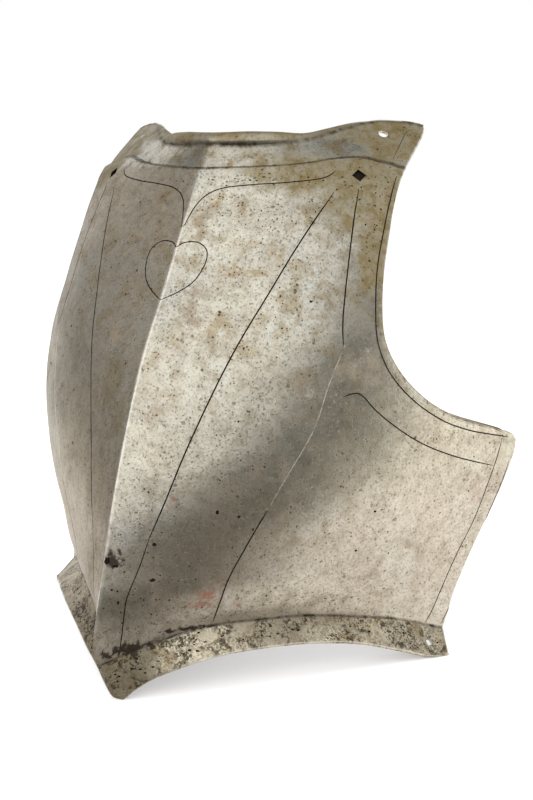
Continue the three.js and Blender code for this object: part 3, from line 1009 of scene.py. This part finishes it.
def plain_finish(name, colour, roughness, metallic):
    material, tree, shader, position = new_material(name)
    tone = clouds(tree, position, 240.0, 0.3, 0.7, 5.0)
    darker = [part * 0.6 for part in colour[:3]]
    tree.links.new(blend(tree, tone, colour, darker), shader.inputs["Base Color"])
    shader.inputs["Roughness"].default_value = roughness
    shader.inputs["Metallic"].default_value = metallic
    return material


def plate_materials():
    """The plate's finishes, in the order of their indices."""
    made = [bpy.data.materials.get(name) for name in MATERIAL_NAMES]
    if all(made):
        return made
    settings = bpy.context.scene.armour_finish
    return [aged_steel(settings),
            plate_back(settings),
            plain_finish("engraved_dark", settings.grime_and_shade_colour, 0.7, 0.9),
            plain_finish("engraved_pale", settings.pale_colour, 0.40, 0.9),
            plain_finish("cut_edge", settings.pale_colour, 0.45, 0.8)]


# ---------------------------------------------------------------- settings, operators and panel

def length(name, description, default):
    return bpy.props.FloatProperty(name=name, description=description, default=default, unit="LENGTH")


def colour(name, description, default):
    return bpy.props.FloatVectorProperty(name=name, description=description, size=3, subtype="COLOR",
                                         default=default)


class ArmourPlateSettings(bpy.types.PropertyGroup):
    thickness: length("Thickness", "Thickness of the steel plate", 0.0022)
    step_depth: length("Step depth", "How far the neck band is set back", 0.0024)
    roll_radius: length("Roll radius", "Radius of the rolled neck edge", 0.0056)
    rim_bevel: length("Rim bevel", "Rounding of the plate's cut edges", 0.0004)
    line_radius: length("Line radius", "Radius of the engraver's round point", 0.00055)


class ArmourFinishSettings(bpy.types.PropertyGroup):
    steel_colour: colour("Steel", "Bright worn steel", (0.65, 0.61, 0.50))
    cool_colour: colour("Cool steel", "Greyer patches", (0.53, 0.535, 0.475))
    rosy_colour: colour("Rosy steel", "The cleaner lower field", (0.62, 0.565, 0.51))
    warm_colour: colour("Warm steel", "Brownish patches", (0.53, 0.455, 0.36))
    patina_colour: colour("Patina", "Golden brown old oil", (0.185, 0.140, 0.055))
    gold_colour: colour("Gold", "The flange's yellowed steel", (0.62, 0.55, 0.40))
    ochre_colour: colour("Ochre", "Yellowish old stains", (0.36, 0.27, 0.125))
    # This colour also paints shade over the half of the outer face left of the ridge.
    brown_and_shade_colour: colour("Brown", "Thin brown tarnish", (0.25, 0.172, 0.102))
    mottle_colour: colour("Mottle", "Fine grey mottling", (0.34, 0.30, 0.22))
    rust_colour: colour("Rust", "Red rust stains", (0.26, 0.085, 0.04))
    # This colour paints grime in lines and pits, and also the painted shade in the creases of the outer
    # face.
    grime_and_shade_colour: colour("Grime", "Dirt in lines and pits", (0.040, 0.029, 0.019))
    # This colour also paints the highlight along the ridge of the outer face.
    pale_colour: colour("Pale", "Freshly cut steel", (0.78, 0.74, 0.66))
    back_colour: colour("Back", "The unpolished inner face", (0.20, 0.17, 0.14))
    scale_colour: colour("Scale", "Black forge scale on the back", (0.11, 0.095, 0.082))


class ArmourStudioSettings(bpy.types.PropertyGroup):
    camera_place: bpy.props.FloatVectorProperty(name="Camera place", description="Where the camera stands",
                                                size=3, subtype="TRANSLATION", unit="LENGTH",
                                                default=(0.38675, -0.65003, 0.33839))
    camera_height_angle: bpy.props.FloatProperty(name="Camera pitch", description="Camera's height angle",
                                                 subtype="ANGLE", default=math.radians(12.28))
    camera_turn: bpy.props.FloatProperty(name="Camera turn", description="Camera's turn about the vertical",
                                         subtype="ANGLE", default=math.radians(27))
    lens: bpy.props.FloatProperty(name="Lens", description="Focal length in millimetres on a 36 mm sensor",
                                  default=51.67)
    key_level: bpy.props.FloatProperty(name="Key level", description="Strength of all the soft boxes",
                                       default=1.0)


class ARMOUR_OT_breastplate(bpy.types.Operator):
    """Build the breastplate's steel plate with its engraved lines and holes"""
    bl_idname = "armour.breastplate"
    bl_label = "Breastplate"

    def execute(self, context):
        settings = context.scene.armour_plate
        sheet, lines = raised_sheet(settings)
        plate_wall(sheet, settings)
        TO_FRAME["matrix"] = into_frame(sheet)
        bmesh.ops.transform(sheet, matrix=TO_FRAME["matrix"], verts=sheet.verts)
        mesh = bpy.data.meshes.new(PLATE + "_plate")
        for material in plate_materials():
            mesh.materials.append(material)
        surface = bvhtree.BVHTree.FromBMesh(sheet)
        sheet.to_mesh(mesh)
        sheet.free()
        plate = new_object(PLATE + "_plate", mesh)
        both_sides = (1, -1)
        radius = settings.line_radius
        dark = engraver("lines", [(CHEST_LINE, both_sides, 1.0), (ARM_LINE, both_sides, 1.0),
                                  (RIM_LINE, both_sides, 0.9), (UNDERARM_LINE, both_sides, 0.9),
                                  (HEART_LINE, both_sides, 0.9)], surface, radius, GROOVE)
        more = engraver("more_lines", [(CHEST_LINE_FOOT, both_sides, 0.8), (ARM_LINE_FOOT, both_sides, 1.0),
                                       (SIDE_LINE, both_sides, 0.8), (EDGE_LINE, both_sides, 0.8),
                                       (BORDER_LINE, both_sides, 0.9), (SHOULDER_LINE, both_sides, 0.5)],
                        surface, radius, GROOVE)
        pale = engraver("pale_lines", [(ARM_LINE_MIDDLE, both_sides, 0.8)], surface, radius, PALE_GROOVE)
        carve(plate, [dark, more, pale, pit_cutter(surface), hole_cutter(surface)])
        write_wear_and_shade_places(plate.data, lines)
        plate.data.set_sharp_from_angle(angle=SHARP_ANGLE)
        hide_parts(PLATE)
        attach(plate, "root")
        return {"FINISHED"}


def soft_box(name, place, towards, size, radiance):
    """A rectangular lamp of the given radiance that looks towards a point."""
    lamp = bpy.data.lights.new(name, "AREA")
    lamp.shape = "RECTANGLE"
    lamp.size, lamp.size_y = size
    lamp.energy = radiance * math.pi * size[0] * size[1]
    box = bpy.data.objects.new(name, lamp)
    box.location = place
    box.rotation_euler = (Vector(towards) - Vector(place)).to_track_quat("-Z", "Y").to_euler()
    box.visible_camera = False
    bpy.context.scene.collection.objects.link(box)


def studio_direction(turn, rise, distance):
    """A place in the studio: turned from the plate's front to its left, raised above level."""
    turn, rise = math.radians(turn), math.radians(rise)
    heading = Vector((math.sin(turn) * math.cos(rise), -math.cos(turn) * math.cos(rise), math.sin(rise)))
    return STUDIO_CENTRE + heading * distance


STUDIO_CENTRE = Vector((0.04, -0.03, 0.19))
FLOOR_LIT_FROM = (-0.14, -0.02)
FLOOR_DIM_FROM = (-0.65, -1.10)
FLOOR_DIM_COLOUR, FLOOR_LIT_COLOUR = (0.08, 0.070, 0.050), (0.80, 0.78, 0.74)
FLOOR_HALF = 14.0
# The soft boxes: name, where from (turn, rise and distance), size, and radiance.
SOFT_BOXES = [
    ("front_box", (8, 40, 1.5), (2.7, 2.3), 1.3),
    ("right_box", (108, 3, 1.3), (1.05, 0.75), 1.3),
    ("left_box", (-131, 12, 1.4), (1.15, 1.5), 0.95),
    ("left_fill", (-82, 24, 1.5), (0.9, 0.9), 0.30),
    ("top_box", None, (0.8, 0.8), 0.5),
    ("back_box", (132, 42, 1.4), (0.9, 0.7), 1.7),
]
TOP_BOX_PLACE = (0.05, 0.02, 1.75)


class ARMOUR_OT_studio(bpy.types.Operator):
    """Set the plate on a pale floor in soft studio light, with the camera"""
    bl_idname = "armour.studio"
    bl_label = "Studio"

    def execute(self, context):
        settings = context.scene.armour_studio
        floor = bmesh.new()
        bmesh.ops.create_grid(floor, x_segments=1, y_segments=1, size=FLOOR_HALF)
        mesh = bpy.data.meshes.new("floor")
        floor.to_mesh(mesh)
        floor.free()
        ground = new_object("floor", mesh)
        mesh.materials.append(floor_finish())
        for name, given, size, radiance in SOFT_BOXES:
            place = studio_direction(*given) if given else TOP_BOX_PLACE
            soft_box(name, place, STUDIO_CENTRE, size, radiance * settings.key_level)
        camera = bpy.data.objects.new("camera", bpy.data.cameras.new("camera"))
        camera.data.lens = settings.lens
        camera.data.sensor_width = 36.0
        camera.data.clip_end = 100.0
        camera.location = settings.camera_place
        pitch = math.pi / 2 - settings.camera_height_angle
        camera.rotation_euler = Euler((pitch, 0.0, settings.camera_turn))
        context.scene.collection.objects.link(camera)
        context.scene.camera = camera
        context.scene.world = studio_world()
        context.scene.view_settings.view_transform = "Standard"
        return {"FINISHED"}


def floor_finish():
    """A pale matt floor, which the polished steel sees lit behind the plate and dark before it."""
    material = bpy.data.materials.new("floor")
    material.use_nodes = True
    tree = material.node_tree
    output = tree.nodes["Material Output"]
    tree.nodes.remove(tree.nodes["Principled BSDF"])
    pale = put(tree, "ShaderNodeBsdfDiffuse", {"Color": (0.92, 0.92, 0.92, 1.0)})
    position = put(tree, "ShaderNodeTexCoord").outputs["Object"]
    places = put(tree, "ShaderNodeSeparateXYZ", {0: position}).outputs
    lit = ramp(tree, places["Y"], *FLOOR_LIT_FROM)
    lit = both(tree, lit, ramp(tree, places["X"], *FLOOR_DIM_FROM, 1.0, 0.45))
    seen = blend(tree, lit, FLOOR_DIM_COLOUR, FLOOR_LIT_COLOUR)
    dim = put(tree, "ShaderNodeBsdfDiffuse", {"Color": seen})
    rays = put(tree, "ShaderNodeLightPath")
    mixed = put(tree, "ShaderNodeMixShader", {0: rays.outputs["Is Glossy Ray"], 1: pale.outputs[0],
                                              2: dim.outputs[0]})
    tree.links.new(mixed.outputs[0], output.inputs["Surface"])
    return material


def studio_world():
    """A pale room all round, which the polished steel sees dimmer than the soft boxes."""
    world = bpy.data.worlds.new("studio")
    world.use_nodes = True
    world.cycles.sampling_method = "NONE"
    tree = world.node_tree
    tree.nodes.clear()
    rays = put(tree, "ShaderNodeLightPath")
    bright = sums(tree, "ADD", 1.0, sums(tree, "MULTIPLY", rays.outputs["Is Diffuse Ray"], 0.15))
    level = sums(tree, "SUBTRACT", bright, sums(tree, "MULTIPLY", rays.outputs["Is Glossy Ray"], 0.90))
    backdrop = put(tree, "ShaderNodeBackground", {"Color": (1.0, 1.0, 1.0, 1.0), "Strength": level})
    output = put(tree, "ShaderNodeOutputWorld")
    tree.links.new(backdrop.outputs[0], output.inputs["Surface"])
    return world


class ARMOUR_PT_panel(bpy.types.Panel):
    bl_label = "Breastplate"
    bl_idname = "ARMOUR_PT_panel"
    bl_space_type = "VIEW_3D"
    bl_region_type = "UI"
    bl_category = "Armour"

    def draw(self, context):
        scene = context.scene
        for group in (scene.armour_plate, scene.armour_finish, scene.armour_studio):
            for name in group.__annotations__:
                self.layout.prop(group, name)
        self.layout.operator(ARMOUR_OT_breastplate.bl_idname)
        self.layout.operator(ARMOUR_OT_studio.bl_idname)


CLASSES = (ArmourPlateSettings, ArmourFinishSettings, ArmourStudioSettings, ARMOUR_OT_breastplate,
           ARMOUR_OT_studio, ARMOUR_PT_panel)


def register():
    for one in CLASSES:
        bpy.utils.register_class(one)
    bpy.types.Scene.armour_plate = bpy.props.PointerProperty(type=ArmourPlateSettings)
    bpy.types.Scene.armour_finish = bpy.props.PointerProperty(type=ArmourFinishSettings)
    bpy.types.Scene.armour_studio = bpy.props.PointerProperty(type=ArmourStudioSettings)


def unregister():
    del bpy.types.Scene.armour_studio
    del bpy.types.Scene.armour_finish
    del bpy.types.Scene.armour_plate
    for one in reversed(CLASSES):
        bpy.utils.unregister_class(one)


def main():
    register()
    bpy.ops.armour.studio()
    bpy.ops.armour.breastplate()


if __name__ == "__main__":
    main()
